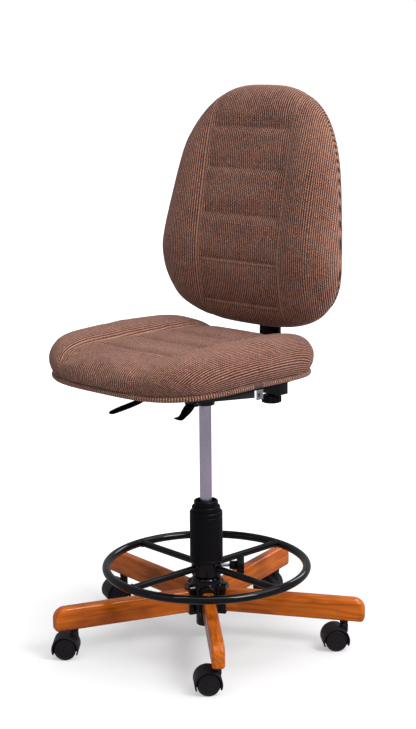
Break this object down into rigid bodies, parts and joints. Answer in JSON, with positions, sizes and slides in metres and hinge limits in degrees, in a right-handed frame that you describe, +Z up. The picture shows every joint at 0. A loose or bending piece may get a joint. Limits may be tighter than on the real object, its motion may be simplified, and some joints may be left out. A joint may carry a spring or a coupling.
{
  "type": "drafting chair",
  "caption": "Upholstered tilting drafting chair on a gas-lift column with an adjustable foot ring and a five-legged wooden base on hooded twin-wheel casters.",
  "frame": {"origin": "on the floor, at the middle of the chair's footprint box", "axes": "+Z up; the sitter faces -Y and their left hand is at +X; the column axis is at x 21.6 mm, y -7.9 mm"},
  "size_m": [0.6925, 0.7102, 1.263],
  "materials": {
    "upholstery": "ribbed woven upholstery, brown with tan flecks",
    "wood": "gloss varnished hardwood",
    "plywood": "bare plywood",
    "black_paint": "gloss black powder coat",
    "black_plastic": "fine textured moulding",
    "nylon": "satin moulded nylon",
    "satin_steel": "satin ground",
    "zinc": "bright zinc plate"
  },
  "bodies": {
    "base": {"base_hub": "black_paint", "column_tube": "black_paint", "guide_bush": "black_plastic", "thrust_bearing": "zinc", "leg_1": "wood", "caster_stem_1": "black_paint", "leg_2": "wood", "caster_stem_2": "black_paint", "leg_3": "wood", "caster_stem_3": "black_paint", "leg_4": "wood", "caster_stem_4": "black_paint", "leg_5": "wood", "caster_stem_5": "black_paint"},
    "caster_1": {"caster_hood_1": "nylon", "caster_axle_1": "zinc"},
    "wheel_1_left": {"caster_wheel_1_left": "nylon"},
    "wheel_1_right": {"caster_wheel_1_right": "nylon"},
    "caster_2": {"caster_hood_2": "nylon", "caster_axle_2": "zinc"},
    "wheel_2_left": {"caster_wheel_2_left": "nylon"},
    "wheel_2_right": {"caster_wheel_2_right": "nylon"},
    "caster_3": {"caster_hood_3": "nylon", "caster_axle_3": "zinc"},
    "wheel_3_left": {"caster_wheel_3_left": "nylon"},
    "wheel_3_right": {"caster_wheel_3_right": "nylon"},
    "caster_4": {"caster_hood_4": "nylon", "caster_axle_4": "zinc"},
    "wheel_4_left": {"caster_wheel_4_left": "nylon"},
    "wheel_4_right": {"caster_wheel_4_right": "nylon"},
    "caster_5": {"caster_hood_5": "nylon", "caster_axle_5": "zinc"},
    "wheel_5_left": {"caster_wheel_5_left": "nylon"},
    "wheel_5_right": {"caster_wheel_5_right": "nylon"},
    "column_rod": {"piston_rod": "zinc"},
    "seat": {"gas_cylinder": "satin_steel", "release_button": "zinc", "mechanism_housing": "black_paint", "lever_pin": "zinc", "height_lever_pin": "zinc", "recline_pin": "zinc", "lock_strap": "zinc", "strap_bolt": "zinc", "seat_plate": "black_paint", "seat_board": "black_plastic", "seat_cushion": "upholstery", "seat_piping": "upholstery"},
    "height_lever": {"height_lever": "black_plastic"},
    "recline_lever": {"recline_lever": "black_plastic"},
    "back_arm": {"back_arm": "black_paint"},
    "back": {"back_upright": "black_paint", "back_board": "plywood", "back_cushion": "upholstery", "back_cover": "upholstery"},
    "back_knob": {"back_knob": "black_plastic"},
    "foot_ring": {"foot_ring": "black_paint", "cover_lower": "black_plastic"},
    "clamp_knob": {"clamp_knob": "black_plastic"},
    "cover_middle": {"cover_middle": "black_plastic"},
    "cover_upper": {"cover_upper": "black_plastic"}
  },
  "joints": [
    {"name": "caster_1_swivel", "type": "hinge", "parent": "base", "child": "caster_1", "pos_m": [0.26014, -0.22419, 0.062], "axis": [0, 0, 1], "continuous": true},
    {"name": "wheel_1_left_spin", "type": "hinge", "parent": "caster_1", "child": "wheel_1_left", "pos_m": [0.24702, -0.23929, 0.025], "axis": [0.7547, -0.6561, 0], "continuous": true},
    {"name": "wheel_1_right_spin", "type": "hinge", "parent": "caster_1", "child": "wheel_1_right", "pos_m": [0.24702, -0.23929, 0.025], "axis": [0.7547, -0.6561, 0], "continuous": true},
    {"name": "caster_2_swivel", "type": "hinge", "parent": "base", "child": "caster_2", "pos_m": [0.30102, 0.15213, 0.062], "axis": [0, 0, 1], "continuous": true},
    {"name": "wheel_2_left_spin", "type": "hinge", "parent": "caster_2", "child": "wheel_2_left", "pos_m": [0.2879, 0.13703, 0.025], "axis": [0.7547, -0.6561, 0], "continuous": true},
    {"name": "wheel_2_right_spin", "type": "hinge", "parent": "caster_2", "child": "wheel_2_right", "pos_m": [0.2879, 0.13703, 0.025], "axis": [0.7547, -0.6561, 0], "continuous": true},
    {"name": "caster_3_swivel", "type": "hinge", "parent": "base", "child": "caster_3", "pos_m": [-0.04425, 0.30729, 0.062], "axis": [0, 0, 1], "continuous": true},
    {"name": "wheel_3_left_spin", "type": "hinge", "parent": "caster_3", "child": "wheel_3_left", "pos_m": [-0.06304, 0.30046, 0.025], "axis": [0.342, -0.9397, 0], "continuous": true},
    {"name": "wheel_3_right_spin", "type": "hinge", "parent": "caster_3", "child": "wheel_3_right", "pos_m": [-0.06304, 0.30046, 0.025], "axis": [0.342, -0.9397, 0], "continuous": true},
    {"name": "caster_4_swivel", "type": "hinge", "parent": "base", "child": "caster_4", "pos_m": [-0.29852, 0.02688, 0.062], "axis": [0, 0, 1], "continuous": true},
    {"name": "wheel_4_left_spin", "type": "hinge", "parent": "caster_4", "child": "wheel_4_left", "pos_m": [-0.30697, 0.00875, 0.025], "axis": [0.9063, -0.4226, 0], "continuous": true},
    {"name": "wheel_4_right_spin", "type": "hinge", "parent": "caster_4", "child": "wheel_4_right", "pos_m": [-0.30697, 0.00875, 0.025], "axis": [0.9063, -0.4226, 0], "continuous": true},
    {"name": "caster_5_swivel", "type": "hinge", "parent": "base", "child": "caster_5", "pos_m": [-0.11039, -0.3016, 0.062], "axis": [0, 0, 1], "continuous": true},
    {"name": "wheel_5_left_spin", "type": "hinge", "parent": "caster_5", "child": "wheel_5_left", "pos_m": [-0.12526, -0.31499, 0.025], "axis": [0.6691, -0.7431, 0], "continuous": true},
    {"name": "wheel_5_right_spin", "type": "hinge", "parent": "caster_5", "child": "wheel_5_right", "pos_m": [-0.12526, -0.31499, 0.025], "axis": [0.6691, -0.7431, 0], "continuous": true},
    {"name": "seat_swivel", "type": "hinge", "parent": "base", "child": "column_rod", "pos_m": [0.0216, -0.0079, 0.05], "axis": [0, 0, 1], "continuous": true},
    {"name": "seat_lift", "type": "slide", "parent": "column_rod", "child": "seat", "axis": [0, 0, 1], "range_m": [-0.2, 0]},
    {"name": "height_lever_lift", "type": "hinge", "parent": "seat", "child": "height_lever", "pos_m": [0.0216, -0.0459, 0.568], "axis": [-1, 0, 0], "range_deg": [0, 8], "stiffness_Nm_per_rad": 2, "springref_deg": -5.73},
    {"name": "recline_lever_lift", "type": "hinge", "parent": "seat", "child": "recline_lever", "pos_m": [-0.0354, -0.1059, 0.604], "axis": [-1, 0, 0], "range_deg": [0, 7]},
    {"name": "back_recline", "type": "hinge", "parent": "seat", "child": "back_arm", "pos_m": [0.0216, 0.0641, 0.6], "axis": [-1, 0, 0], "range_deg": [-3, 12]},
    {"name": "back_height", "type": "slide", "parent": "back_arm", "child": "back", "axis": [0, 0, 1], "range_m": [0, 0.06]},
    {"name": "back_knob_turn", "type": "hinge", "parent": "back_arm", "child": "back_knob", "pos_m": [0.0216, 0.2181, 0.53], "axis": [0, 0, 1], "range_deg": [0, 180]},
    {"name": "foot_ring_height", "type": "slide", "parent": "base", "child": "foot_ring", "axis": [0, 0, 1], "range_m": [0, 0.06]},
    {"name": "clamp_knob_turn", "type": "hinge", "parent": "foot_ring", "child": "clamp_knob", "pos_m": [0.07362, 0.03894, 0.1736], "axis": [0.7431, 0.6691, 0], "range_deg": [0, 180]},
    {"name": "cover_middle_extend", "type": "slide", "parent": "foot_ring", "child": "cover_middle", "axis": [0, 0, 1], "range_m": [0, 0.07]},
    {"name": "cover_upper_extend", "type": "slide", "parent": "cover_middle", "child": "cover_upper", "axis": [0, 0, 1], "range_m": [0, 0.07]}
  ]
}
